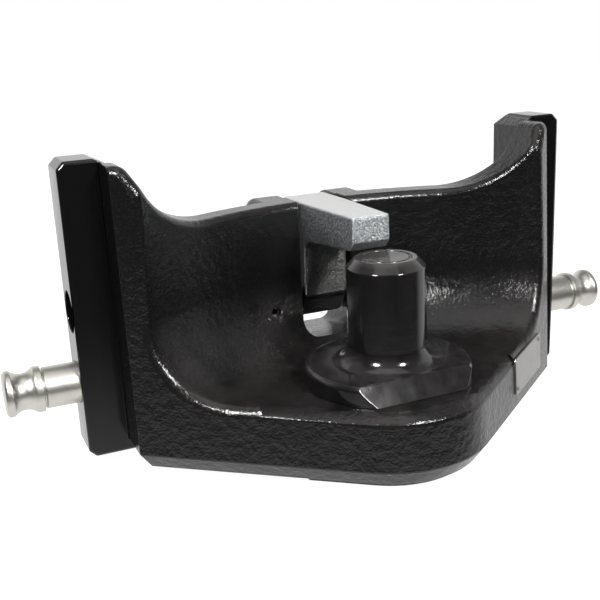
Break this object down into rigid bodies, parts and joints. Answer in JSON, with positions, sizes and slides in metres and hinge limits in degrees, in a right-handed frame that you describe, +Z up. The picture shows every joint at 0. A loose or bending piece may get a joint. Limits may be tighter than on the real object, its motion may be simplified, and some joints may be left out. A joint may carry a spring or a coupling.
{
  "type": "piton hitch",
  "caption": "Cast sliding carriage with side tongues, a curved rear wall, an upright piton for a drawbar ring and a swinging hold-down finger above it.",
  "frame": {"origin": "the coupling point: on the piton's axis, at the middle of its plain length", "axes": "+X across to the right as seen from the drawbar, +Y towards the vehicle, +Z up along the piton"},
  "size_m": [0.406, 0.1895, 0.1756],
  "materials": {
    "black_paint": "gloss black paint over a cast skin",
    "black_piton": "satin black paint over a turned surface",
    "zinc_casting": "zinc plating over a cast skin",
    "zinc_pin": "zinc plating over a turned surface",
    "steel": "plain machined steel",
    "spring_steel": "drawn wire",
    "bronze": "sintered bronze",
    "knob_plastic": "moulded black plastic",
    "plate_aluminium": "bare aluminium, blank"
  },
  "bodies": {
    "carriage": {"hitch_body": "black_paint", "piton": "black_piton", "piton_washer": "steel", "piton_bolt": "steel", "hold_down_pivot_pin": "steel", "pivot_roll_pins": "steel", "lock_guide": "steel", "lock_spring": "spring_steel", "nameplate": "plate_aluminium", "nameplate_rivets": "plate_aluminium"},
    "hold_down": {"hold_down": "zinc_casting", "pivot_bush": "bronze"},
    "lock_bolt": {"lock_bolt": "steel", "lock_knob": "knob_plastic"},
    "lock_pin_left": {"lock_pin_left": "zinc_pin"},
    "lock_pin_right": {"lock_pin_right": "zinc_pin"}
  },
  "joints": [
    {"name": "hold_down_swing", "type": "hinge", "parent": "carriage", "child": "hold_down", "pos_m": [0, 0.098, -0.0187], "axis": [-1, 0, 0], "range_deg": [0, 75]},
    {"name": "lock_bolt_slide", "type": "slide", "parent": "carriage", "child": "lock_bolt", "axis": [1, 0, 0], "range_m": [0, 0.012], "deforming": ["lock_spring"]},
    {"name": "lock_pin_left_slide", "type": "slide", "parent": "carriage", "child": "lock_pin_left", "axis": [-1, 0, 0], "range_m": [0, 0.025]},
    {"name": "lock_pin_right_slide", "type": "slide", "parent": "carriage", "child": "lock_pin_right", "axis": [1, 0, 0], "range_m": [0, 0.025]}
  ]
}
